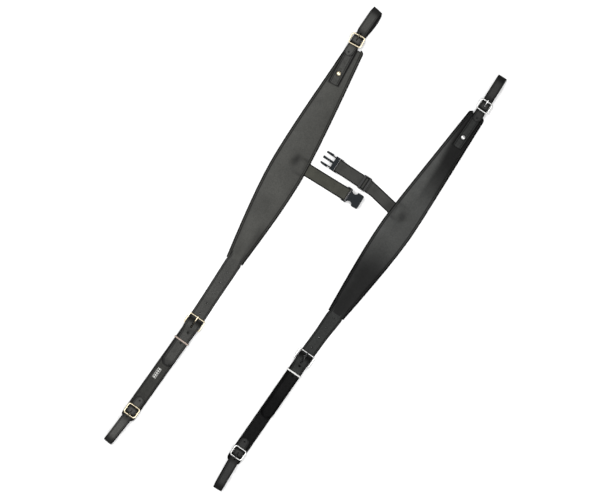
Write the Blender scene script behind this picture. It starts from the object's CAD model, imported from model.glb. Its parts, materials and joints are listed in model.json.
# A pair of padded accordion shoulder straps, lying flat, seen from straight above.
# Lengths are in millimetres here and become metres when a mesh is made.
import json
import math

import bmesh
import bpy
from mathutils import Matrix, Vector


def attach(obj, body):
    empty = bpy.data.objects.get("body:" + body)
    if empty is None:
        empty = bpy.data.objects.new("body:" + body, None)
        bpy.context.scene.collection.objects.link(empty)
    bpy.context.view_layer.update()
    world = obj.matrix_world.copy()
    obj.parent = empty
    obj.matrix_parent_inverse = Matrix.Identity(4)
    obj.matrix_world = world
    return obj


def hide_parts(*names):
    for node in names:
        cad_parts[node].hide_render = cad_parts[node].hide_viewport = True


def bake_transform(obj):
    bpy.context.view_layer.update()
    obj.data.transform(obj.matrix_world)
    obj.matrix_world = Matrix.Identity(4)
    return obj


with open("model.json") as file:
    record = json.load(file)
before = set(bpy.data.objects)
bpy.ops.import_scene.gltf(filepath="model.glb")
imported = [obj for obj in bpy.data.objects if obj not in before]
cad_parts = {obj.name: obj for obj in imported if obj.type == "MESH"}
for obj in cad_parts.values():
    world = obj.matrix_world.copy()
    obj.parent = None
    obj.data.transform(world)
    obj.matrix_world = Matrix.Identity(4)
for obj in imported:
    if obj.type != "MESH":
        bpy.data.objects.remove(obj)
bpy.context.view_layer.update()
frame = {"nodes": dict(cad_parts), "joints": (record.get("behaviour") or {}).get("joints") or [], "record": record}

MM = 0.001
SIDES = ("left", "right")
JOINTS = {j["name"]: j for j in frame["joints"]}
MOUNTS = {m["name"]: m for m in frame["record"]["mounts"]}


def pair(left, right):
    """A value for each of the two straps."""
    return {"left": left, "right": right}


# ---------------------------------------------------------------- camera
FIELD = 1122.0          # width of the floor that the picture shows
LENS = 100.0
SENSOR = 36.0
AIM = (-12.0, 12.8)     # the floor point at the picture's centre
ROLL = 33.3             # the picture is turned about the vertical


def make_camera():
    data = bpy.data.cameras.new("camera")
    data.lens, data.sensor_width = LENS, SENSOR
    data.clip_start, data.clip_end = 0.05, 50.0
    cam = bpy.data.objects.new("camera", data)
    bpy.context.collection.objects.link(cam)
    cam.location = (AIM[0] * MM, AIM[1] * MM, FIELD * MM * LENS / SENSOR)
    cam.rotation_euler = (0, 0, math.radians(ROLL))
    bpy.context.scene.camera = cam


make_camera()


# ---------------------------------------------------------------- material nodes
def new_material(name):
    mat = bpy.data.materials.new(name)
    mat.use_nodes = True
    nodes = mat.node_tree.nodes
    return mat, mat.node_tree, nodes["Principled BSDF"]


def node(tree, kind, **values):
    made = tree.nodes.new(kind)
    for key, value in values.items():
        if key in made.inputs:
            made.inputs[key].default_value = value
        else:
            setattr(made, key, value)
    return made


def noise(tree, source, scale, detail=3.0, rough=0.55):
    made = node(tree, "ShaderNodeTexNoise", Scale=scale, Detail=detail, Roughness=rough)
    tree.links.new(source, made.inputs["Vector"])
    return made.outputs["Fac"]


def ramp(tree, value, *stops):
    made = tree.nodes.new("ShaderNodeValToRGB")
    while len(made.color_ramp.elements) < len(stops):
        made.color_ramp.elements.new(0.5)
    for element, (place, colour) in zip(made.color_ramp.elements, stops, strict=True):
        element.position = place
        element.color = (*colour, 1) if isinstance(colour, tuple) else (colour, colour, colour, 1)
    tree.links.new(value, made.inputs["Fac"])
    return made.outputs["Color"]


def maths(tree, what, a, b=None):
    made = node(tree, "ShaderNodeMath", operation=what)
    for socket, value in zip(made.inputs, (a, b)):
        if value is None:
            continue
        if isinstance(value, (int, float)):
            socket.default_value = value
        else:
            tree.links.new(value, socket)
    return made.outputs["Value"]


def mix(tree, how, fac, a, b):
    made = node(tree, "ShaderNodeMix", data_type="RGBA", blend_type=how)
    for socket, value in zip((made.inputs[0], made.inputs[6], made.inputs[7]), (fac, a, b), strict=True):
        if isinstance(value, (int, float)):
            socket.default_value = value
        elif isinstance(value, tuple):
            socket.default_value = (*value, 1)
        else:
            tree.links.new(value, socket)
    return made.outputs[2]


def multiply(tree, colour, by, fac=1.0):
    return mix(tree, "MULTIPLY", fac, colour, by)


def bump(tree, height, distance, strength=1.0, under=None):
    made = node(tree, "ShaderNodeBump", Strength=strength, Distance=distance)
    tree.links.new(height, made.inputs["Height"])
    if under is not None:
        tree.links.new(under, made.inputs["Normal"])
    return made.outputs["Normal"]


def coords(tree, which="Object"):
    return tree.nodes.new("ShaderNodeTexCoord").outputs[which]


def coords_xyz(tree, which):
    split = tree.nodes.new("ShaderNodeSeparateXYZ")
    tree.links.new(coords(tree, which), split.inputs["Vector"])
    return split.outputs


def shade(colour, k):
    return tuple(min(1.0, c * k) for c in colour)


def flanks(tree, low, high, dark):
    """Pale where a surface faces up from the piece, dark where it turns away: dyed cut edges."""
    return ramp(tree, coords_xyz(tree, "Normal")["Z"], (low, dark), (high, 1.0))


def dye_depth(tree, darkest):
    """What paint() left on the piece, from the darkest tone to none."""
    painted = node(tree, "ShaderNodeAttribute", attribute_name="dye")
    return ramp(tree, painted.outputs["Fac"], (0.0, darkest), (1.0, 1.0))


def leather(name, colour, shine=0.18, grain=0.00010, wear=1.9, groove=0.0, dyed=0.0, groove_w=0.9,
            pebble=0.10):
    """Smooth full-grain leather: fine cells, faint pull-up clouds, paler worn edges. grain is in metres;
    groove, groove_w and dyed are in mm from the piece's edge, which its UVs measure."""
    mat, tree, skin = new_material(name)
    at = coords(tree)
    cells = node(tree, "ShaderNodeTexVoronoi", Scale=900.0)
    tree.links.new(at, cells.inputs["Vector"])
    creases = noise(tree, at, 260.0, 5.0, 0.62)
    clouds = noise(tree, at, 22.0, 4.0, 0.6)
    fine = noise(tree, at, 1500.0, 2.0)
    body = ramp(tree, clouds, (0.32, shade(colour, 0.84)), (0.52, colour), (0.74, shade(colour, 1.2)))
    pores = ramp(tree, cells.outputs["Distance"], (0.0, 0.72), (0.28, 1.0))
    body = multiply(tree, body, pores, 0.7)
    pebbles = ramp(tree, noise(tree, at, 420.0, 2.0, 0.6), (0.36, 1 - 2 * pebble), (0.62, 1.0))
    body = multiply(tree, body, pebbles)
    edge = ramp(tree, tree.nodes.new("ShaderNodeNewGeometry").outputs["Pointiness"],
                (0.515, 0.0), (0.60, 1.0))
    patches = maths(tree, "MULTIPLY", edge, creases)
    body = mix(tree, "MIX", patches, body, shade(colour, wear))
    normal = bump(tree, creases, grain * 2.2, 0.55)
    normal = bump(tree, cells.outputs["Distance"], grain, 0.55, normal)
    normal = bump(tree, fine, grain * 0.25, 0.4, normal)
    sheen = ramp(tree, creases, (0.3, 0.38), (0.7, 0.53))
    if dyed or groove:
        inset = coords_xyz(tree, "UV")["X"]
        if dyed:
            rim = ramp(tree, inset, (dyed * 0.06, 0.0), (dyed * 0.10, 0.72), (dyed * 0.24, 1.0))
            body = mix(tree, "MIX", rim, shade(colour, 0.05), body)
            sheen = mix(tree, "MIX", rim, (0.85, 0.85, 0.85), sheen)
        if groove:
            away = maths(tree, "ABSOLUTE", maths(tree, "SUBTRACT", inset, groove / 10))
            dip = ramp(tree, away, (0.03, 0.10), (groove_w / 10, 1.0))
            body = multiply(tree, body, dip, 0.9)
            normal = bump(tree, dip, 0.0005, 0.9, normal)
    body = multiply(tree, body, dye_depth(tree, 0.03))
    body = multiply(tree, body, flanks(tree, 0.35, 0.99, 0.20))
    tree.links.new(body, skin.inputs["Base Color"])
    tree.links.new(sheen, skin.inputs["Roughness"])
    skin.inputs["Specular IOR Level"].default_value = shine
    tree.links.new(normal, skin.inputs["Normal"])
    return mat


def suede(name, colour):
    mat, tree, skin = new_material(name)
    at = coords(tree)
    nap = noise(tree, at, 2200.0, 4.0, 0.7)
    clouds = noise(tree, at, 40.0, 4.0)
    body = ramp(tree, clouds, (0.3, shade(colour, 0.8)), (0.7, shade(colour, 1.25)))
    body = multiply(tree, body, ramp(tree, nap, (0.3, 0.55), (0.7, 1.0)), 0.6)
    tree.links.new(body, skin.inputs["Base Color"])
    skin.inputs["Roughness"].default_value = 0.92
    skin.inputs["Sheen Weight"].default_value = 0.25
    tree.links.new(bump(tree, nap, 0.0002, 0.7), skin.inputs["Normal"])
    return mat


def webbing_material(name, colour):
    """Close herringbone webbing; UV runs in units of 10 mm, across then along."""
    mat, tree, skin = new_material(name)
    uv = coords_xyz(tree, "UV")
    across, along = uv["X"], uv["Y"]
    chevron = maths(tree, "PINGPONG", across, 0.36)
    slant = maths(tree, "ADD", along, maths(tree, "MULTIPLY", chevron, 0.55))
    weft = maths(tree, "SINE", maths(tree, "MULTIPLY", slant, 2 * math.pi * 7.5))
    warp = maths(tree, "SINE", maths(tree, "MULTIPLY", across, 2 * math.pi * 11.0))
    weave = maths(tree, "ADD", maths(tree, "MULTIPLY", weft, 0.32), maths(tree, "MULTIPLY", warp, 0.18))
    weave = maths(tree, "ADD", weave, 0.5)
    at = coords(tree)
    fuzz = noise(tree, at, 2600.0, 3.0)
    clouds = noise(tree, at, 60.0, 4.0)
    body = ramp(tree, clouds, (0.3, shade(colour, 0.82)), (0.7, shade(colour, 1.2)))
    body = multiply(tree, body, ramp(tree, weave, (0.05, 0.42), (0.8, 1.0)), 0.85)
    body = multiply(tree, body, ramp(tree, fuzz, (0.3, 0.6), (0.7, 1.0)), 0.4)
    body = multiply(tree, body, ramp(tree, across, (0.15, 0.05), (0.30, 1.0)))
    body = multiply(tree, body, flanks(tree, 0.3, 0.97, 0.2))
    body = multiply(tree, body, dye_depth(tree, 0.05))
    tree.links.new(body, skin.inputs["Base Color"])
    skin.inputs["Roughness"].default_value = 0.78
    skin.inputs["Specular IOR Level"].default_value = 0.2
    skin.inputs["Sheen Weight"].default_value = 0.06
    normal = bump(tree, weave, 0.00028, 0.9)
    tree.links.new(bump(tree, fuzz, 0.00006, 0.5, normal), skin.inputs["Normal"])
    return mat


def metal(name, colour, rough, tarnish=0.10, rubbed_tip=False):
    """Plated wire: rubbed bright on top, tarnished down its sides, with a slightly uneven polish.
    A rubbed tip leaves the rest of a prong, which points along Y, dull."""
    mat, tree, skin = new_material(name)
    at = coords(tree)
    smears = noise(tree, at, 130.0, 4.0, 0.6)
    marks = noise(tree, at, 1400.0, 2.0)
    body = ramp(tree, smears, (0.3, shade(colour, 0.86)), (0.7, shade(colour, 1.06)))
    body = multiply(tree, body, flanks(tree, 0.22, 0.74, tarnish))
    if rubbed_tip:
        ahead = coords_xyz(tree, "Generated")["Y"]
        body = multiply(tree, body, ramp(tree, ahead, (0.55, 0.06), (0.72, 1.0)))
    tree.links.new(body, skin.inputs["Base Color"])
    skin.inputs["Metallic"].default_value = 1.0
    tree.links.new(ramp(tree, smears, (0.3, rough - 0.05), (0.7, rough + 0.1)), skin.inputs["Roughness"])
    tree.links.new(bump(tree, marks, 0.00003, 0.25), skin.inputs["Normal"])
    return mat


def plastic(name, colour, rough=0.38, shine=0.14, dark=0.25):
    mat, tree, skin = new_material(name)
    at = coords(tree)
    sparks = noise(tree, at, 1900.0, 2.0)
    clouds = noise(tree, at, 70.0, 3.0)
    body = ramp(tree, clouds, (0.3, shade(colour, 0.9)), (0.7, shade(colour, 1.12)))
    body = multiply(tree, body, flanks(tree, 0.4, 0.95, dark))
    tree.links.new(body, skin.inputs["Base Color"])
    skin.inputs["Specular IOR Level"].default_value = shine
    tree.links.new(ramp(tree, clouds, (0.3, rough - 0.05), (0.7, rough + 0.07)), skin.inputs["Roughness"])
    tree.links.new(bump(tree, sparks, 0.00005, 0.45), skin.inputs["Normal"])
    return mat


def thread_material(name, colour):
    mat, tree, skin = new_material(name)
    at = coords(tree)
    twist = noise(tree, at, 3000.0, 2.0)
    tree.links.new(ramp(tree, twist, (0.3, shade(colour, 0.7)), (0.7, shade(colour, 1.3))),
                   skin.inputs["Base Color"])
    skin.inputs["Roughness"].default_value = 0.6
    tree.links.new(bump(tree, twist, 0.00008, 0.6), skin.inputs["Normal"])
    return mat


FACE = pair(leather("face_left", (0.046, 0.046, 0.042), 0.10),
            leather("face_right", (0.043, 0.044, 0.042), 0.10))
RIM_CUT = {"groove": 5.0, "dyed": 2.6, "groove_w": 1.5}
RIM_FACE = pair(leather("rim_left", (0.044, 0.044, 0.040), 0.06, **RIM_CUT),
                leather("rim_right", (0.038, 0.039, 0.037), 0.05, **RIM_CUT))
STRAP_CUT = {"grain": 0.00014, "wear": 2.2, "groove": 3.8, "dyed": 2.0, "groove_w": 0.7, "pebble": 0.2}
STRAP = pair(leather("strap_left", (0.036, 0.036, 0.033), 0.17, **STRAP_CUT),
             leather("strap_right", (0.019, 0.020, 0.019), 0.10, **STRAP_CUT))
LOOP_CUT = {"grain": 0.00014, "wear": 2.0, "groove": 3.2, "dyed": 1.7, "groove_w": 0.6}
LOOP = pair(leather("loop_left", (0.054, 0.054, 0.050), 0.19, pebble=0.15, **LOOP_CUT),
            leather("loop_right", (0.023, 0.023, 0.022), 0.14, pebble=0.2, **LOOP_CUT))
LOWER_CUT = {"grain": 0.00014, "wear": 2.2, "groove": 3.6, "dyed": 2.1, "groove_w": 0.7}
LOWER = pair(leather("lower_left", (0.026, 0.026, 0.023), 0.13, pebble=0.2, **LOWER_CUT),
             leather("lower_right", (0.006, 0.006, 0.006), 0.035, pebble=0.25, **LOWER_CUT))
THREAD = pair(thread_material("thread_left", (0.022, 0.021, 0.018)),
              thread_material("thread_right", (0.017, 0.017, 0.016)))
WEB = pair(webbing_material("webbing_left", (0.050, 0.050, 0.040)),
           webbing_material("webbing_right", (0.042, 0.042, 0.039)))
METAL = pair(metal("pale_brass", (0.80, 0.70, 0.50), 0.27, 0.06),
             metal("nickel", (0.66, 0.66, 0.65), 0.26, 0.08))
PIN_METAL = pair(metal("dull_brass", (0.10, 0.09, 0.07), 0.40, 0.05),
                 metal("dull_nickel", (0.035, 0.035, 0.035), 0.42, 0.05))
RUBBED_PIN = pair(metal("tipped_brass", (0.80, 0.70, 0.50), 0.27, 0.06, rubbed_tip=True),
                  METAL["right"])
BAND_METAL = pair(metal("rubbed_brass", (0.26, 0.21, 0.18), 0.34, 0.05),
                  metal("rubbed_nickel", (0.34, 0.34, 0.33), 0.32, 0.05))
LINING = suede("lining_suede", (0.040, 0.038, 0.033))
PLASTIC = plastic("buckle_plastic", (0.008, 0.010, 0.012), shine=0.08, dark=0.03)
GLIDE_PLASTIC = plastic("glide_plastic", (0.010, 0.010, 0.010), shine=0.30, dark=0.03)
FOIL = metal("foil", (0.45, 0.45, 0.43), 0.5)


# ---------------------------------------------------------------- places
def place(origin, along):
    """Local frame: +Y along the given direction, +Z up, its origin on the floor; in metres."""
    y = Vector((along[0], along[1], 0)).normalized()
    x = Vector((y.y, -y.x, 0))
    turn = Matrix((x, y, Vector((0, 0, 1)))).transposed().to_4x4()
    return Matrix.Translation(Vector((origin[0], origin[1], 0))) @ turn


def hinge_place(joint):
    """Frame at a hinge, such as a buckle's bar: the hinge axis is its +X."""
    axis = JOINTS[joint]["axis"]
    return place(JOINTS[joint]["pos_m"], (-axis[1], axis[0]))


def heading(lean):
    """Direction that leans to the left of +Y by so many degrees."""
    return Vector((-math.sin(math.radians(lean)), math.cos(math.radians(lean)), 0))


# Pads: low end, lean, greatest width and swell, as in the CAD source
PAD_AT = pair((-101, -77), (112.5, -57))
PAD_LEAN = pair(3.5, -2.0)
PAD_W = pair(67.5, 62.0)
PAD_LEN, PAD_BELLY, PAD_END_W = 461.0, 200.0, 33.0
LOWER_SWELL = 0.88
UPPER_SWELL = pair(0.8, 0.65)
# Straps, also as in the CAD source. A billet runs from the heel bar to the pad
BILLET_LEAN = pair(0.0, -3.0)
BILLET_RUN = pair(144.0, 107.0)
BILLET_LEN = 229.0
FIRST_HOLE = pair(6.0, 10.0)
TAIL_HOLE = pair(10.0, 15.0)
OPEN_HOLES = pair(5, 4)
TAIL_W, TAIL_SHIFT = 25.0, 1.5
HOLE_PITCH = 23.0
LOWER_LEN = pair(211.0, 228.0)
REACH = {"top": pair(70.0, 65.0), "bottom": pair(75.0, 79.0)}
BILLET_W = pair(29.0, 27.5)
LOWER_W = pair(27.6, 27.0)
LOOP_W = pair(19.5, 18.0)
TAB_W = pair(20.0, 19.0)
TAB_LEN = 92.0
BOTTOM_LOOP_W, WEB_W = 19.0, 25.0
# How far each loop's back band bows out sideways beside its front band
BOW = {"top": pair(5.0, 0.0), "bottom": pair(-1.0, 1.5)}

PAD = {s: place(Vector(PAD_AT[s]) * MM, heading(PAD_LEAN[s])) for s in SIDES}
HEEL = {s: hinge_place(f"{s}_large_prong_lift") for s in SIDES}
TOP = {s: hinge_place(f"{s}_top_prong_lift") for s in SIDES}
BOTTOM = {s: hinge_place(f"{s}_bottom_prong_lift") for s in SIDES}
LOOP_AT = {(s, end): place(JOINTS[f"{s}_{end}_prong_lift"]["pos_m"], MOUNTS[f"{s}_{end}_loop"]["axis"])
           for s in SIDES for end in ("top", "bottom")}


# ---------------------------------------------------------------- mesh helpers
def add(name, verts, faces, material, where=None, uvs=None, smooth=True):
    mesh = bpy.data.meshes.new(name)
    mesh.from_pydata([Vector(v) * MM for v in verts], [], faces)
    mesh.validate()
    piece = bpy.data.objects.new(name, mesh)
    bpy.context.collection.objects.link(piece)
    if uvs:
        layer = mesh.uv_layers.new(name="UVMap")
        for loop in mesh.loops:
            layer.data[loop.index].uv = uvs[loop.vertex_index]
    if where is not None:
        mesh.transform(where)
    mesh.polygons.foreach_set("use_smooth", [smooth] * len(mesh.polygons))
    dye = mesh.attributes.new("dye", "FLOAT", "POINT")
    dye.data.foreach_set("value", [1.0] * len(mesh.vertices))
    mesh.materials.append(material)
    mesh.update()
    return piece


def apply_modifiers(piece):
    graph = bpy.context.evaluated_depsgraph_get()
    done = bpy.data.meshes.new_from_object(piece.evaluated_get(graph))
    old = piece.data
    piece.modifiers.clear()
    piece.data = done
    bpy.data.meshes.remove(old)


def arc(cy, cz, r, a0, a1, n):
    """n steps of a circle in a side view, from one angle to the other in degrees."""
    turns = [math.radians(a0 + (a1 - a0) * i / n) for i in range(n + 1)]
    return [(cy + r * math.cos(a), cz + r * math.sin(a)) for a in turns]


def soften(points, reach):
    """Rounds each corner of a side view with a short curve that starts `reach` before it."""
    out = [Vector(points[0])]
    for i in range(1, len(points) - 1):
        a, b, c = Vector(points[i - 1]), Vector(points[i]), Vector(points[i + 1])
        cut = min(reach, (a - b).length / 2, (c - b).length / 2)
        p, q = b + (a - b).normalized() * cut, b + (c - b).normalized() * cut
        out += [p * (1 - t) ** 2 + b * 2 * t * (1 - t) + q * t * t for t in (0, 0.25, 0.5, 0.75, 1)]
    out.append(Vector(points[-1]))
    return out


def resample(points, step, ends=4.0):
    """Points evenly spaced along the path, closer together near its two ends."""
    total = [0.0]
    for a, b in zip(points, points[1:]):
        total.append(total[-1] + (b - a).length)
    length = total[-1]
    marks, s = [0.0], 0.0
    while s < length:
        near = min(s, length - s)
        s += step * (0.22 if near < ends else 0.5 if near < 3 * ends else 1.0)
        marks.append(min(s, length))
    out, k = [], 0
    for s in marks:
        while k < len(total) - 2 and total[k + 1] < s:
            k += 1
        span = total[k + 1] - total[k]
        out.append(points[k].lerp(points[k + 1], (s - total[k]) / span if span else 0))
    return out, marks


def straight(s):
    """Plan line of a straight strap: the point at the length s and the direction across."""
    return Vector((0, s)), Vector((1, 0))


def level(along, height):
    return 0.0


class Route:
    """A strap's middle line: its side view [along, height] laid over a plan line."""

    def __init__(self, side_view, step=1.6, plan=straight, shift=level):
        self.points, self.marks = resample(side_view, step)
        self.plan, self.shift = plan, shift

    def frame(self, i):
        """Middle point, the direction across and the direction out of the face at point i."""
        p = self.points[i]
        q = self.points[min(i + 1, len(self.points) - 1)] - self.points[max(i - 1, 0)]
        q.normalize()
        at, across = self.plan(p.x)
        ahead = Vector((-across.y, across.x))
        side = Vector((across.x, across.y, 0))
        out = Vector((-q.y * ahead.x, -q.y * ahead.y, q.x))
        mid = Vector((at.x, at.y, p.y)) + side * self.shift(p.x, p.y)
        return mid, side, out


def strap(name, route, half_width, thick, material, where, crown=0.0, cells=8, facing=1,
          shear=level):
    """A strap with burnished round edges. half_width is a function of (along, length so far), and shear
    of (along, height) slants its cross lines. Its UVs are the distance from the nearer edge and the
    length so far, in units of 10 mm."""
    verts, uvs = [], []
    edge = 4
    lanes = [i / cells * 2 - 1 for i in range(cells + 1)]
    for i, s in enumerate(route.marks):
        mid, side, out = route.frame(i)
        w = max(half_width(route.points[i].x, s), 0.05)
        r = min(thick / 2, w)
        turns = [math.pi * (k + 1) / (edge + 1) for k in range(edge)]
        ring = [(x * (w - r), thick / 2 + crown * (1 - x * x)) for x in lanes]
        ring += [((w - r) + r * math.sin(a), thick / 2 * math.cos(a)) for a in turns]
        ring += [(-x * (w - r), -thick / 2) for x in lanes]
        ring += [(-(w - r) - r * math.sin(a), -thick / 2 * math.cos(a)) for a in turns]
        lean = Vector((-side.y, side.x, 0)) * shear(route.points[i].x, route.points[i].y)
        for x, z in ring:
            verts.append(mid + (side + lean) * x + out * z * facing)
            uvs.append(((w - abs(x)) / 10, s / 10))
    n = len(ring)
    faces = tube(0, len(route.marks), n)
    last = len(verts) - n
    for start, turn in ((0, False), (last, True)):
        for k in range(cells):
            low = 2 * cells + edge + 1
            quad = (start + k, start + k + 1, start + low - k - 1, start + low - k)
            faces.append(quad if turn else quad[::-1])
        for first, size in ((cells, edge + 2), (2 * cells + 1 + edge, edge + 2)):
            cap = [start + (first + k) % n for k in range(size)]
            faces.append(tuple(cap) if turn else tuple(cap[::-1]))
    piece = add(name, verts, faces, material, where, uvs)
    fix_normals(piece)
    return piece


def tube(base, rings, n):
    """Faces between rings of n points each; the first ring starts at the point `base`."""
    starts = [base + i * n for i in range(rings - 1)]
    return [(a + k, a + (k + 1) % n, a + n + (k + 1) % n, a + n + k) for a in starts for k in range(n)]


def closed_sheets(rows, cols):
    """Faces of two grids of points, upper then lower, joined along their rim; also that rim."""
    wide, layer = cols + 1, (rows + 1) * (cols + 1)
    faces = []
    for i in range(rows):
        for j in range(cols):
            a = i * wide + j
            faces.append((a, a + 1, a + wide + 1, a + wide))
            faces.append(tuple(layer + k for k in (a, a + wide, a + wide + 1, a + 1)))
    rim = [i * wide for i in range(rows + 1)] + [rows * wide + j for j in range(1, wide)]
    rim += [i * wide + cols for i in range(rows - 1, -1, -1)] + list(range(cols - 1, 0, -1))
    for k, a in enumerate(rim):
        b = rim[(k + 1) % len(rim)]
        faces.append((a, b, layer + b, layer + a))
    return faces, rim


def fix_normals(piece):
    bm = bmesh.new()
    bm.from_mesh(piece.data)
    bmesh.ops.recalc_face_normals(bm, faces=bm.faces)
    bm.to_mesh(piece.data)
    bm.free()


def paint(piece, where, tone):
    """Deepens the leather's dye by tone(x, y, z), from 0 to 1, at each point of the local frame."""
    back = where.inverted()
    dye = piece.data.attributes["dye"].data
    for vertex in piece.data.vertices:
        x, y, z = back @ vertex.co / MM
        dye[vertex.index].value *= min(max(tone(x, y, z), 0.0), 1.0)


def tip(length_to_end, w, point, blunt):
    """Half width near a pointed tip whose blunt end is `blunt` half wide."""
    if length_to_end >= point:
        return w
    t = max(length_to_end, 0) / point
    return blunt + (w - blunt) * t ** 0.75


def round_end(length_to_end, w, r):
    """Half width near an end with corners of radius r."""
    if length_to_end >= r:
        return w
    d = r - max(length_to_end, 0)
    return w - r + math.sqrt(max(r * r - d * d, 0.0))


def punch(piece, where, holes, depth=(-2, 30)):
    """Cuts round or long holes. Each is (x, y0, y1, radius) in the local frame."""
    verts, faces = [], []
    ring = 20
    for x, y0, y1, r in holes:
        base = len(verts)
        for z in depth:
            for k in range(ring):
                a = 2 * math.pi * (k + 0.5) / ring
                y = (y1 - r if math.sin(a) > 0 else y0 + r) if y1 - y0 > 2 * r else (y0 + y1) / 2
                verts.append((x + r * math.cos(a), y + r * math.sin(a), z))
        faces.append(tuple(base + k for k in range(ring))[::-1])
        faces.append(tuple(base + ring + k for k in range(ring)))
        faces += tube(base, 2, ring)
    cutter = add("cutter", verts, faces, piece.data.materials[0], where, smooth=False)
    cut = piece.modifiers.new("holes", "BOOLEAN")
    cut.operation, cut.solver, cut.object = "DIFFERENCE", "EXACT", cutter
    apply_modifiers(piece)
    bpy.data.objects.remove(cutter)


def darken(piece, where, holes, width):
    """Dye that soaks into the leather round each punched hole (x, y, radius)."""
    def tone(x, y, z):
        far = min(math.hypot(x - hx, y - hy) - r for hx, hy, r in holes)
        return 0.1 + 0.9 * blend01(far / width)

    paint(piece, where, tone)


def stitches(name, spots, material, where, size=(1.9, 0.34)):
    """One mesh of thread beads. Each spot is (middle, direction, up)."""
    verts, faces = [], []
    around, along = 6, 5
    half, r = size[0] / 2, size[1]
    for mid, ahead, up in spots:
        ahead, up = Vector(ahead).normalized(), Vector(up).normalized()
        side = ahead.cross(up)
        base = len(verts)
        for i in range(along + 1):
            t = i / along * 2 - 1
            ring_r = r * math.sqrt(max(1 - abs(t) ** 3, 0.02))
            sink = 0.6 * t * t * r
            for k in range(around):
                a = 2 * math.pi * k / around
                verts.append(Vector(mid) + ahead * t * half + side * ring_r * math.cos(a)
                             + up * (ring_r * math.sin(a) - sink))
        faces += tube(base, along + 1, around)
        faces.append(tuple(base + k for k in range(around))[::-1])
        faces.append(tuple(base + along * around + k for k in range(around)))
    return add(name, verts, faces, material, where)


def stitch_row(route, half, s0, s1, pitch, lift):
    """Stitch spots along a route between two lengths, `half` to the side of its middle."""
    spots, s, k = [], s0, 0
    while s < s1:
        while k < len(route.marks) - 2 and route.marks[k + 1] < s:
            k += 1
        t = (s - route.marks[k]) / max(route.marks[k + 1] - route.marks[k], 1e-6)
        (a, side, out), (b, _, _) = route.frame(k), route.frame(k + 1)
        spots.append((a.lerp(b, t) + side * half + out * lift, (b - a), out))
        s += pitch
    return spots


# ---------------------------------------------------------------- pads
RIM = 5.6               # from the pad's outer edge to its cushion
CORNER = 7.0            # radius of its two top corners
SEAM_INSET = 3.9        # from the pad's outer edge to the binding's stitches
SEAM_Z = 2.9
CROWN_Z = 7.0
HOLLOW_UP = pair(7, -4)    # the dent's place above the middle of the cross strap's root


def pad_half(s, y):
    """Half width of a pad at the distance y above its lower end, as in the CAD source."""
    if y < PAD_BELLY:
        t = ((PAD_BELLY - y) / PAD_BELLY) ** LOWER_SWELL
    else:
        t = ((y - PAD_BELLY) / (PAD_LEN - PAD_BELLY)) ** UPPER_SWELL[s]
    return (PAD_END_W + (PAD_W[s] - PAD_END_W) * math.cos(math.pi / 2 * t)) / 2


def blend01(t):
    """Smooth step from 0 to 1."""
    t = min(max(t, 0.0), 1.0)
    return t * t * (3 - 2 * t)


def bell(x, y, cx, cy, rx, ry):
    """Bump of height 1 round a point, with its own reach in each direction."""
    return math.exp(-((x - cx) / rx) ** 2 - ((y - cy) / ry) ** 2)


# Where the cross strap enters each pad, in the pad's frame
ROOT = {s: PAD[s].inverted() @ Vector(JOINTS[f"{s}_webbing_lift"]["pos_m"]) / MM for s in SIDES}


def from_root(s, x, y):
    """How far a point of the pad is inward of the cross strap's root, and above its middle."""
    inward = -1 if ROOT[s].x > 0 else 1
    return inward * (x - ROOT[s].x), y - ROOT[s].y


def pad_height(s, x, y):
    """Height of the pad's face: crowned along its middle, flat and thin at its two ends."""
    half = pad_half(s, y) - RIM
    rise = max(1 - abs(x / half) ** 2.3, 0.0) ** 0.8
    full = blend01((y - 12) / 55) * blend01((PAD_LEN - 62 - y) / 55)
    top = SEAM_Z + 0.7 + (CROWN_Z - SEAM_Z - 1.4) * full
    deep, up = from_root(s, x, y)
    lump = 1.7 * math.exp(-((deep - 12) / 12.5) ** 4 - (up / 12.5) ** 4)
    hollow = pair(1.9, 1.3)[s] * bell(deep, up, 33, HOLLOW_UP[s], 9, 14)
    return SEAM_Z + (top - SEAM_Z) * rise + (lump - hollow) * min(rise * 1.6 + 0.25, 1)


def rubbed(s, x, y):
    """The right pad keeps its deep dye at its two ends and is rubbed paler in between.
    The left one is only a little deeper at its lower end."""
    if s == "left":
        return 1 - 0.4 * blend01((x - 4) / 10) * blend01((95 - y) / 40)
    top = 235 + 7 * max(0, -x)
    return (0.07 + 0.93 * blend01((y - 95) / 90)) * (1 - 0.92 * blend01((y - top) / 120))


def pad_tone(s, x, y):
    """Adds the dark hollow beyond the root of the cross strap, the soft lines beside the root, and the
    shadow line round the tab."""
    deep, up = from_root(s, x, y)
    hollow = pair(0.72, 0.55)[s] * bell(deep, up, 29, HOLLOW_UP[s], 8, 12)
    sides = 0.35 * bell(abs(up), deep, 15, 10, 3.0, 12)
    tab = TOP[s].inverted() @ (PAD[s] @ Vector((x * MM, y * MM, 0))) / MM
    beyond = max(abs(tab.x) - TAB_W[s] / 2, -TAB_LEN - tab.y)
    outline = 0.75 * (1 - blend01((abs(beyond - 0.4) - 0.5) / 1.8))
    return rubbed(s, x, y) * (1 - hollow) * (1 - sides) * (1 - outline)


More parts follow.
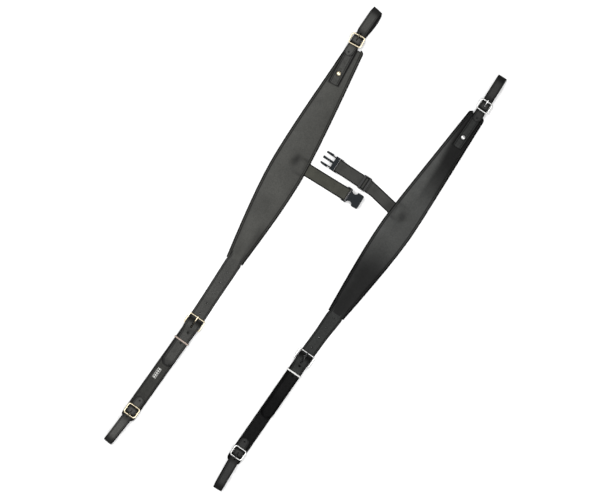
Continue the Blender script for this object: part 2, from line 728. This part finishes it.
def make_cushion(s):
    """Face and foam as one closed form: crowned above, flat below, then inflated as cloth."""
    rows, cols, bend = 190, 30, 0.92
    verts = []
    y0, y1 = 3.0, PAD_LEN - 4.0
    for lower in (False, True):
        for i in range(rows + 1):
            y = y0 + (y1 - y0) * i / rows
            half = pad_half(s, y) - RIM + 0.9
            for j in range(cols + 1):
                x = half * math.sin(math.pi / 2 * (j / cols * 2 - 1) * bend) / math.sin(math.pi / 2 * bend)
                verts.append((x, y, 1.1 if lower else max(pad_height(s, x, y) - 0.25, SEAM_Z - 0.6)))
    faces, rim = closed_sheets(rows, cols)
    uvs = [(v[0] / 10 + 5, v[1] / 10) for v in verts]
    piece = add(f"{s}_pad_cushion", verts, faces, FACE[s], PAD[s], uvs)
    fix_normals(piece)
    wide, layer = cols + 1, len(verts) // 2
    end_rows = 4 * wide
    pinned = set(rim) | set(range(end_rows)) | set(range(layer - end_rows, 2 * layer))
    inflate(piece, pinned)
    piece.modifiers.new("smooth", "SUBSURF").levels = 1
    piece.modifiers["smooth"].render_levels = 1
    apply_modifiers(piece)
    paint(piece, PAD[s], lambda x, y, z: pad_tone(s, x, y))
    return piece


def inflate(piece, pinned, pressure=5.0, frames=18, cap=1.1 * MM):
    """Blows the pad up a little against its seam line, and caps how far a point moves."""
    start = [v.co.copy() for v in piece.data.vertices]
    group = piece.vertex_groups.new(name="sewn")
    group.add(sorted(pinned), 1.0, "REPLACE")
    cloth = piece.modifiers.new("cloth", "CLOTH")
    fabric = cloth.settings
    fabric.vertex_group_mass = "sewn"
    fabric.quality, fabric.mass = 6, 0.4
    fabric.tension_stiffness = fabric.compression_stiffness = 18
    fabric.shear_stiffness, fabric.bending_stiffness = 12, 2.5
    fabric.use_pressure, fabric.uniform_pressure_force = True, pressure
    fabric.effector_weights.gravity = 0
    cloth.collision_settings.use_collision = False
    cloth.point_cache.frame_start, cloth.point_cache.frame_end = 1, frames
    scene = bpy.context.scene
    for number in range(1, frames + 1):
        scene.frame_set(number)
    apply_modifiers(piece)
    scene.frame_set(1)
    piece.vertex_groups.clear()
    for vertex, old in zip(piece.data.vertices, start, strict=True):
        move = vertex.co - old
        if move.length > cap:
            vertex.co = old + move.normalized() * cap
    piece.data.update()


def edge_points(s, side, inset):
    """The pad's long edge and top corner on one side, from the lower end to the loop strap."""
    steps, low, high = 149, 2, PAD_LEN - CORNER
    points = []
    for i in range(steps + 1):
        y = low + (high - low) * i / steps
        points.append(Vector((side * (pad_half(s, y) - inset), y)))
    centre = Vector((pad_half(s, high) - CORNER, high))
    r = max(CORNER - inset, 0.6)
    for k in range(1, 9):
        a = math.pi / 2 * k / 8
        points.append(Vector((side * (centre.x + r * math.cos(a)), centre.y + r * math.sin(a))))
    return points


def make_binding(s):
    """Leather strip rolled round the pad's edge and sewn down on both faces. Its section is a list of
    [outward from the edge, height]."""
    section = [(-RIM - 0.7, 2.3), (-RIM - 0.2, 2.72), (-RIM + 0.6, 3.05), (-RIM + 2, 3.2), (-1.9, 3.25),
               (-0.8, 3.15), (-0.1, 2.8), (0.25, 2.2), (0.3, 1.6), (0.2, 1.0), (-0.2, 0.35), (-0.9, 0.12),
               (-2.6, 0.1), (-4.2, 0.1), (-4.2, 0.6)]
    verts, faces, uvs = [], [], []
    n = len(section)
    for side in (-1, 1):
        line = edge_points(s, side, 0)
        base = len(verts)
        for i, p in enumerate(line):
            ahead = (line[min(i + 1, len(line) - 1)] - line[max(i - 1, 0)]).normalized()
            outward = Vector((ahead.y, -ahead.x)) * side
            for k, (d, z) in enumerate(section):
                verts.append((p.x + outward.x * d, p.y + outward.y * d, z))
                uvs.append(((0.3 - d) / 10 if z > 2.2 and k < n - 1 else 0, p.y / 10))
        faces += tube(base, len(line), n)
        faces.append(tuple(base + k for k in range(n)))
        faces.append(tuple(base + (len(line) - 1) * n + k for k in range(n))[::-1])
    piece = add(f"{s}_pad_edge", verts, faces, RIM_FACE[s], PAD[s], uvs)
    fix_normals(piece)
    paint(piece, PAD[s], lambda x, y, z: rubbed(s, x, y))
    return piece


def make_pad_stitches(s):
    """Row of stitches along the binding, evenly spaced from one end of each edge to the other."""
    pitch, z = 3.3, 3.26
    spots = []
    for side in (-1, 1):
        line = edge_points(s, side, SEAM_INSET)
        gone = 0.0
        for a, b in zip(line, line[1:]):
            span = (b - a).length
            while gone < span:
                p = a.lerp(b, gone / span)
                spots.append(((p.x, p.y, z), (b.x - a.x, b.y - a.y, 0), (0, 0, 1)))
                gone += pitch
            gone -= span
    return stitches(f"{s}_pad_stitching", spots, THREAD[s], PAD[s], (2.2, 0.36))


def make_lining(s):
    """Suede underside: a thin sheet whose edge turns up into the binding."""
    rows, cols = 150, 14
    verts = []
    for z in (1.0, 0.0):
        for i in range(rows + 1):
            y = 2.5 + (PAD_LEN - 5) * i / rows
            half = pad_half(s, y) - 2.4
            trim = max(0, y - (PAD_LEN - CORNER)) ** 2 / (2 * CORNER)
            for j in range(cols + 1):
                t = j / cols * 2 - 1
                lift = 0.25 * blend01((abs(t) - 0.86) / 0.14) if z == 0 else 0
                verts.append(((half - trim) * t, y, z + lift))
    piece = add(f"{s}_pad_underside", verts, closed_sheets(rows, cols)[0], LINING, PAD[s])
    fix_normals(piece)
    return piece


# ---------------------------------------------------------------- leather straps
BAR_Z, HEEL_Z = 6.35, 3.6       # heights of the small buckles' bars and the large ones' heel bars


def make_loop(s, end):
    """Narrow bracket loop: tail, buckle, front band, fold, back band."""
    top = end == "top"
    reach, bow = REACH[end][s], BOW[end][s]
    slant = -0.15 if top and s == "left" else 0.0
    tail, tail_z = (-33, 6.75) if top else (-30, 5.1)
    ends = [(6, 0.8), (-12, 0.8), (-19, 1.8), (-60, 1.8)] if top else [(34, 0.8), (25, 2.6), (4, 2.6)]
    view = [(tail, tail_z), (-15, tail_z), (-11.2, 5.1), (-8.7, 5.1), (-6.4, 8.7), (-2.5, 9.45)]
    view += [(2.5, 9.45), (6.4, 8.7), (8.7, 5.1), (11, 5.1), (22, 8.4), (reach * 0.55, 8.85)]
    view += [(reach - 12, 8.1), (reach - 4, 6.3)]
    view += arc(reach - 3.4, 3.4, 2.6, 62, -90, 10) + ends

    def shift(along, height):
        """The back band bows out to one side of the front band."""
        if along < 12 or along > reach:
            return 0
        back = blend01((8.2 - height) / 4.5)
        return bow * back * math.sin(math.pi * ((reach - along) / (reach - 2)) ** 0.62) ** 0.8

    def shear(along, height):
        return slant * blend01((along - 25) / 35)

    route = Route(soften(view, 2.2), 1.5, shift=shift)

    def half(along, gone):
        w = LOOP_W[s] / 2 if top else BOTTOM_LOOP_W / 2 - 0.8 * blend01((along - 12) / 50)
        return round_end(gone, w, 7.5)

    where = LOOP_AT[s, end]
    piece = strap(f"{s}_{end}_loop_strap", route, half, 1.5, LOOP[s], where, crown=0.12, cells=10,
                  shear=shear)
    punch(piece, where, [(0, -1.6, 6.2, 0.6)], depth=(3.9, 20))
    punch(piece, where, [(0, 6.0, 9.6, 1.3)], depth=(3.9, 20))
    holes = [(0, 14, 1.3), (0, tail + 6.5, 1.3)]
    punch(piece, where, [(x, y - r, y + r, r) for x, y, r in holes], depth=(3.9, 14))

    def tone(x, along, height):
        """Deep dye behind, under the buckle's rails and round the fold; rubbed pale in the middle."""
        if along < 11:
            crest = 1 - blend01((abs(along) - 2.5) / 4.5)
            return 0.06 + 0.84 * max(crest, blend01((-9 - along) / 5))
        back = 1 - blend01((height - 3.8) / 1.6) if top or along > 34 else 0
        front = 0.25 + 0.75 * blend01((along - 15) / 13)
        fold = 1 - 0.88 * blend01((along - reach + 19) / 13)
        return front * fold * (1 - 0.93 * back) * (0.72 if top and s == "left" else 1)

    paint(piece, where, tone)
    darken(piece, where, holes, 1.0)
    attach(piece, f"{s}_strap" if top else f"{s}_lower")
    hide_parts(f"{s}_{end}_loop")


def make_billet(s):
    """One strip of leather: out of the pad, under the front bar, over the heel bar, to its tip."""
    run = BILLET_RUN[s]
    end = BILLET_LEN - run
    view = [(run + 26, 2.0), (run - 4, 2.0), (run - 22, 1.0), (15, 1.0), (6.8, 8.0), (0, 8.25), (-4, 7.9),
            (-13, 5.5), (-end, 5.5)]
    upper = (HEEL[s].inverted().to_3x3() @ heading(BILLET_LEAN[s])).xy

    def plan(y):
        """The tail lies along the lower strap; the billet leaves towards the pad."""
        w = blend01((y + 2) / 14)
        mean = Vector((0, 1)).lerp(upper, w).normalized()
        point = Vector((0, y)) if y < 0 else Vector((upper.x * y * (0.5 + 0.5 * w), upper.y * y))
        return point, Vector((mean.y, -mean.x))

    def shift(along, height):
        return TAIL_SHIFT * blend01((-along - 3) / 17)

    route = Route(soften(view, 3.0), 1.8, plan=plan, shift=shift)
    length = route.marks[-1]

    def half(along, gone):
        w = BILLET_W[s] / 2 + (PAD_END_W - BILLET_W[s] - 2) / 2 * blend01((along - 55) / (run - 55))
        if along > run - 2:
            w = PAD_END_W / 2 - 1.2 - 1.5 * blend01((along - run + 2) / 8)
        w += (TAIL_W - BILLET_W[s]) / 2 * blend01((-along - 3) / 17)
        return tip(length - gone, w, 8, 6.0)

    piece = strap(f"{s}_billet", route, half, 2.0, STRAP[s], HEEL[s], crown=0.15, cells=10, facing=-1)
    upper_holes = [FIRST_HOLE[s] + k * HOLE_PITCH for k in range(1, OPEN_HOLES[s] + 1)]
    tail_holes = [TAIL_HOLE[s] - k * HOLE_PITCH for k in (1, 2)]
    holes = [(plan(y)[0].x, y, 0.85) for y in upper_holes] + [(TAIL_SHIFT, y, 1.75) for y in tail_holes]
    punch(piece, HEEL[s], [(x, y - r, y + r, r) for x, y, r in holes])
    darken(piece, HEEL[s], holes, 1.0)
    # the right tail is as dark as its lower strap
    piece.data.materials.append(LOWER[s])
    for face in piece.data.polygons:
        if s == "right" and (HEEL[s].inverted() @ face.center).y < -26 * MM:
            face.material_index = 1

    def tone(x, y, z):
        """Deeper at the tail's tip and where the billet dips under the front bar."""
        return (1 - 0.5 * blend01((-68 - y) / 14)) * (1 - 0.85 * bell(0, y, 0, 14.5, 1, 6))

    paint(piece, HEEL[s], tone)
    punch(piece, HEEL[s], [(0, -2.4, 14.8, 1.5)])
    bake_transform(piece)
    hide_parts(f"{s}_billet_strap", f"{s}_billet_tail")


def make_lower(s):
    """Two plies sewn together, folded round the large buckle's heel bar."""
    length = LOWER_LEN[s]
    view = [(-length, 1.8), (-9, 1.8)] + arc(0, HEEL_Z, 2.35, -100, 110, 16) + [(-12, 3.4), (-length, 3.4)]
    route = Route(soften(view, 2.0), 1.8)

    def half(along, gone):
        return round_end(length + along, LOWER_W[s] / 2 - 0.1, 8)

    piece = strap(f"{s}_lower_leather", route, half, 1.6, LOWER[s], HEEL[s], cells=22, facing=-1)
    punch(piece, HEEL[s], [(0, -4.6, 12, 1.95)])
    tip_y = BILLET_RUN[s] - BILLET_LEN

    def tone(x, y, z):
        """Deeper where the tail's tip rubs it and towards its lower end."""
        beside = abs(x - TAIL_SHIFT) - TAIL_W / 2 + max(0, tip_y + 7 - y)
        under = max(beside, tip_y - y) if y < -60 else 9
        low_end = 0.3 + 0.7 * blend01((y + length - 12) / 20)
        return (0.12 + 0.88 * blend01((under - 1.5) / 3)) * low_end

    paint(piece, HEEL[s], tone)
    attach(piece, f"{s}_lower")
    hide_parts(f"{s}_lower_strap")
    total = route.marks[-1]
    flat = length - 16
    spots = []
    for side in (-1, 1):
        spots += stitch_row(route, side * (LOWER_W[s] / 2 - 2.5), total - flat, total - 8, 3.2, -0.86)
    spots = [(m, a, (0, 0, 1)) for m, a, _ in spots]
    thread = stitches(f"{s}_lower_stitching", spots, THREAD[s], HEEL[s])
    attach(thread, f"{s}_lower")


RIVET_Y = -70.5


def press_round_rivet(piece, where):
    """The rivet pulls the leather down in a ring round its head, which is dark from dye."""
    back = where.inverted()
    for vertex in piece.data.vertices:
        at = back @ vertex.co / MM
        far = math.hypot(at.x, at.y - RIVET_Y)
        if far < 9 and at.z > 4.5:
            vertex.co.z -= 0.55 * MM * math.exp(-(far / 5.2) ** 4)
    darken(piece, where, [(0, RIVET_Y, 4.6)], 1.8)


def make_tab(s):
    """Stitched tab on the pad: two plies that hold the top buckle's centre bar."""
    view = [(-TAB_LEN, 5.3), (-15.5, 5.3), (-10.6, 3.75), (-8.2, 3.75)] + arc(0, BAR_Z, 1.65, 120, -100, 14)
    view += [(-8, 2.7), (-10.6, 2.7), (-15.5, 4.3), (-80, 4.3)]
    route = Route(soften(view, 1.2), 1.6)

    def half(along, gone):
        return round_end(gone, TAB_W[s] / 2, 1.6)

    piece = strap(f"{s}_tab_leather", route, half, 1.0, STRAP[s], TOP[s], cells=18)
    press_round_rivet(piece, TOP[s])
    punch(piece, TOP[s], [(0, -5.5, 6, 1.6)], depth=(3, 30))
    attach(piece, f"{s}_strap")
    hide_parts(f"{s}_top_tab")
    spots = []
    for side in (-1, 1):
        spots += stitch_row(route, side * (TAB_W[s] / 2 - 1.9), 2.5, 74, 2.6, 0.55)
    for k in range(7):
        spots.append(((-6.6 + 2.2 * k, 2 - TAB_LEN, 5.85), (1, 0, 0), (0, 0, 1)))
    thread = stitches(f"{s}_tab_stitching", spots, THREAD[s], TOP[s], (1.7, 0.3))
    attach(thread, f"{s}_strap")


def make_chape(s):
    """Short leather strip round the bottom buckle's centre bar."""
    view = [(-0.55, 2.0), (-1.0, 4.2)] + arc(0, BAR_Z, 1.6, 215, -35, 16) + [(1.0, 4.2), (0.55, 2.0)]
    route = Route(soften(view, 0.6), 0.6)
    piece = strap(f"{s}_chape_leather", route, lambda along, gone: 8.0, 0.9, STRAP[s], BOTTOM[s], cells=4)
    punch(piece, BOTTOM[s], [(0, -4, 5, 1.6)], depth=(4.4, 30))
    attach(piece, f"{s}_lower")
    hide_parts(f"{s}_bottom_chape")


# ---------------------------------------------------------------- cross strap
BAR_H, WRAP_R = 5.0, 2.65       # height of the plastic buckles' bars, and the webbing's bend round them
WEB_Z = 1.85                    # height of the webbing's middle beside a pad
GLIDE_X, BEND_X = 22.8, 35.8    # the slider, and where the right webbing turns towards it
FOLD = {s: Vector(JOINTS[f"{s}_webbing_lift"]["pos_m"]) for s in SIDES}
FEMALE_BAR = Vector(JOINTS["female_buckle_tilt"]["pos_m"])
MALE_BAR = Vector(JOINTS["male_buckle_tilt"]["pos_m"])
# Frames at the fold lines by the pads: +Y runs out along the webbing
WEB_AT = pair(hinge_place("left_webbing_lift"),
              place(FOLD["right"], (BEND_X * MM - FOLD["right"].x, MALE_BAR.y - FOLD["right"].y)))


def left_web():
    """Side view of the left webbing, which wraps the female half's bar, and its two sewn rows."""
    run = (FEMALE_BAR - FOLD["left"]).length / MM
    bar = math.sqrt(run ** 2 - (BAR_H - WEB_Z) ** 2)
    view = [(-20, WEB_Z), (bar - 38, WEB_Z), (bar - 31, 2.7), (bar - 14, 2.95)]
    view += arc(bar, BAR_H, WRAP_R, 112, -100, 16) + [(bar - 12, 0.85), (bar - 28, 0.85)]
    return view, (bar - 27, bar - 17)


def right_bend():
    """How far along the right webbing turns, and its direction from there, in its own frame."""
    back = WEB_AT["right"].inverted()
    root = (back @ Vector((BEND_X * MM, MALE_BAR.y, 0)) / MM).y
    away = back.to_3x3() @ Vector((-1, 0, 0))
    return root, Vector((away.x, away.y)).normalized()


def right_web():
    """Side view of the right webbing, which wraps the male half's bar, and its two sewn rows."""
    root = right_bend()[0]
    bar = root + BEND_X - MALE_BAR.x / MM
    view = [(-20, WEB_Z), (root - 18, WEB_Z), (root - 4, 2.75), (bar - 16, 2.75), (bar - 8, 1.5)]
    view += arc(bar, BAR_H, WRAP_R, -88, 112, 16) + [(bar - 14, 4.55), (root + 2, 4.45)]
    return view, (root + 3, root + 6)


def right_plan(y):
    """Plan line of the right webbing: straight to its bend, then on towards the buckle."""
    root, turned = right_bend()
    ahead = Vector((0, 1)).lerp(turned, blend01((y - root + 9) / 18)).normalized()
    across = Vector((ahead.y, -ahead.x))
    point = Vector((0, y)) if y <= root else Vector((0, root)) + turned * (y - root)
    soft = math.copysign(0.9, turned.x) * math.exp(-((y - root) / 7) ** 2)
    return point + across * soft, across


def grime(x, y, z):
    """Dark in the glide's two slots and in the folds where the right webbing leaves the pad."""
    turned = right_bend()[1]
    glide = WEB_AT["right"].inverted() @ Vector((GLIDE_X * MM, MALE_BAR.y, 0)) / MM
    slot = abs(abs(turned @ (Vector((x, y)) - glide.xy)) - 3.1)
    return (0.10 + 0.90 * blend01((slot - 0.9) / 1.2)) * (0.6 + 0.4 * blend01(abs(y) / 16))


def make_webbing(s):
    """25 mm webbing from inside the pad, round the buckle's bar and back under or over itself."""
    where = WEB_AT[s]
    view, rows = pair(left_web, right_web)[s]()
    plan = pair(straight, right_plan)[s]
    route = Route(soften(view, 2.0), 1.3, plan=plan)
    narrow = pair(0.0, 0.7)[s]

    def half(along, gone):
        return WEB_W / 2 - narrow * blend01((56 - along) / 12)

    piece = strap(f"{s}_cross_web", route, half, 1.5, WEB[s], where, cells=14, facing=pair(1, -1)[s])
    if s == "right":
        paint(piece, where, grime)
    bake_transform(piece)
    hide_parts(f"{s}_webbing_anchor", f"{s}_webbing")
    top_z = pair(3.62, 5.28)[s]
    spots = []
    for y in rows:
        at, side = plan(y)
        for k in range(9):
            p = at + side * (-9.6 + 2.4 * k)
            spots.append(((p.x, p.y, top_z), (side.x, side.y, 0), (0, 0, 1)))
    thread = stitches(f"{s}_web_stitching", spots, THREAD[s], where, (2.0, 0.36))
    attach(thread, f"{s}_cross_webbing")


# ---------------------------------------------------------------- hard parts
def finish_cad(name, material, bevel=0.0, segments=3):
    """Gives a CAD node its material and eases its moulded edges."""
    piece = frame["nodes"][name]
    piece.data.materials.clear()
    piece.data.materials.append(material)
    if bevel:
        ease = piece.modifiers.new("eased_edges", "BEVEL")
        ease.width, ease.segments = bevel * MM, segments
        ease.limit_method, ease.angle_limit = "ANGLE", math.radians(40)


for s in SIDES:
    cushion = make_cushion(s)
    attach(cushion, f"{s}_strap")
    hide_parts(f"{s}_pad_face", f"{s}_pad_foam")
    binding = make_binding(s)
    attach(binding, f"{s}_strap")
    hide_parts(f"{s}_pad_binding")
    thread = make_pad_stitches(s)
    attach(thread, f"{s}_strap")
    under = make_lining(s)
    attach(under, f"{s}_strap")
    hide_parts(f"{s}_pad_lining")
    make_loop(s, "top")
    make_loop(s, "bottom")
    make_billet(s)
    make_lower(s)
    make_tab(s)
    make_chape(s)
    make_webbing(s)
    for buckle in ("top", "large", "bottom"):
        finish_cad(f"{s}_{buckle}_buckle_frame", METAL[s])
        bright = buckle == pair("large", "top")[s]
        finish_cad(f"{s}_{buckle}_buckle_prong", RUBBED_PIN[s] if bright else PIN_METAL[s])
    finish_cad(f"{s}_keeper", BAND_METAL[s], 1.0, 4)
    finish_cad(f"{s}_rivet_cap", METAL[s], 0.2)
    finish_cad(f"{s}_rivet_base", METAL[s], 0.2)

finish_cad("left_foil_mark", FOIL)
for part, ease in (("female_buckle", 0.9), ("male_buckle", 0.8), ("upper_latch_arm", 0.3),
                   ("lower_latch_arm", 0.3)):
    finish_cad(part, PLASTIC, ease)
finish_cad("tri_glide", GLIDE_PLASTIC, 0.4)


# ---------------------------------------------------------------- floor and light
def make_floor():
    size = 6000
    floor = add("floor", [(-size, -size, -0.2), (size, -size, -0.2), (size, size, -0.2), (-size, size, -0.2)],
                [(0, 1, 2, 3)], plastic("floor_paper", (0.86, 0.86, 0.86), 0.9, dark=1.0), smooth=False)


def area_light(name, spot, size, power):
    """Round soft light that points at the middle of the object."""
    data = bpy.data.lights.new(name, "AREA")
    data.shape, data.size, data.energy = "DISK", size, power
    lamp = bpy.data.objects.new(name, data)
    bpy.context.collection.objects.link(lamp)
    lamp.location = spot
    lamp.rotation_euler = (-Vector(spot)).to_track_quat("-Z", "Y").to_euler()


def make_light():
    world = bpy.data.worlds.new("studio")
    world.use_nodes = True
    sky = world.node_tree.nodes["Background"].inputs
    sky["Color"].default_value, sky["Strength"].default_value = (1, 1, 1, 1), 0.6
    bpy.context.scene.world = world
    area_light("key", (-1.5, 0.35, 2.3), 2.2, 60)
    area_light("fill", (1.5, -0.5, 2.2), 2.4, 40)
    area_light("top", (0.3, -0.15, 3.5), 1.0, 14)


make_floor()
make_light()
bpy.context.scene.view_settings.view_transform = "Standard"
